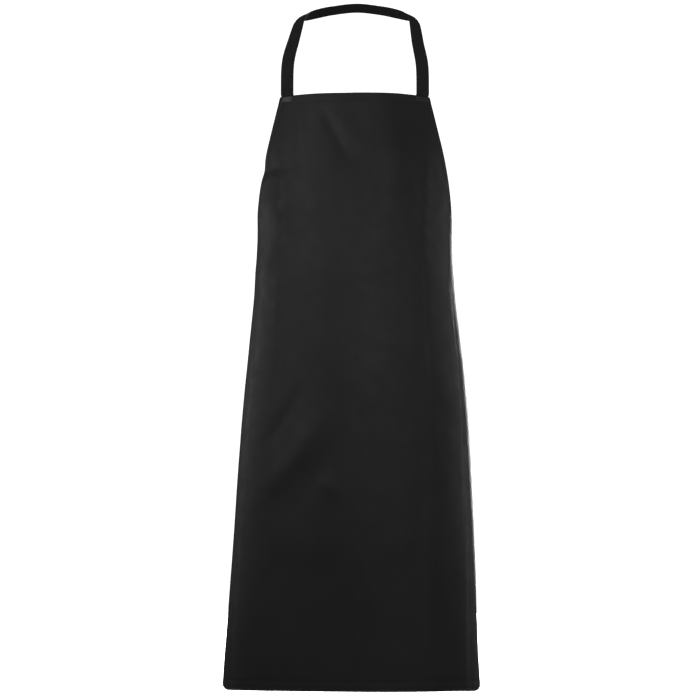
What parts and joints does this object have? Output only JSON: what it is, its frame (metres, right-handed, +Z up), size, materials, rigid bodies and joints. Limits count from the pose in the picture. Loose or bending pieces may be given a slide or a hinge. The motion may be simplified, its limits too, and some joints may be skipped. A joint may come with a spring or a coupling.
{
  "type": "lead apron",
  "caption": "Full-length black bib apron of layered lead-vinyl sheets on a narrow neck strap, wrapped round the wearer's front, with a hanging waist tie at each side.",
  "frame": {"origin": "inner face of the neck strap where it rests on the back of the neck, on the centre line", "axes": "+Z up the wearer, the apron's outer face towards -Y, +X to the viewer's right"},
  "size_m": [0.4822, 0.2284, 1.3047],
  "materials": {
    "cover": "matt wipe-clean coated cloth",
    "lining": "plain woven cloth",
    "lead_vinyl": "dull flexible sheet",
    "webbing": "ribbed woven strap",
    "thread_grey": "sewing thread",
    "thread_black": "sewing thread"
  },
  "bodies": {
    "strap": {"neck_strap": "webbing"},
    "panel": {"front_cover": "cover", "outer_lead_sheet": "lead_vinyl", "inner_lead_sheet": "lead_vinyl", "lining": "lining", "top_edge_tape": "cover", "left_armhole_tape": "cover", "right_armhole_tape": "cover", "left_side_tape": "cover", "right_side_tape": "cover", "bottom_hem_tape": "cover", "left_anchor_patch": "cover", "right_anchor_patch": "cover", "left_strap_end": "webbing", "right_strap_end": "webbing", "left_strap_tack": "thread_grey", "right_strap_stitch_upper": "thread_grey", "right_strap_stitch_lower": "thread_grey", "left_tie_end": "webbing", "right_tie_end": "webbing", "left_tie_tack": "thread_black", "right_tie_tack": "thread_black"},
    "left_tie": {"left_waist_tie": "webbing"},
    "right_tie": {"right_waist_tie": "webbing"}
  },
  "joints": [
    {"name": "panel_swing", "type": "hinge", "parent": "strap", "child": "panel", "pos_m": [0, -0.15213, -0.18337], "axis": [-1, 0, 0], "range_deg": [0, 70]},
    {"name": "left_tie_swing", "type": "hinge", "parent": "panel", "child": "left_tie", "pos_m": [-0.17918, -0.03919, -0.5043], "axis": [1, 0, 0], "range_deg": [0, 150]},
    {"name": "right_tie_swing", "type": "hinge", "parent": "panel", "child": "right_tie", "pos_m": [0.17918, -0.03919, -0.5043], "axis": [1, 0, 0], "range_deg": [0, 150]}
  ]
}
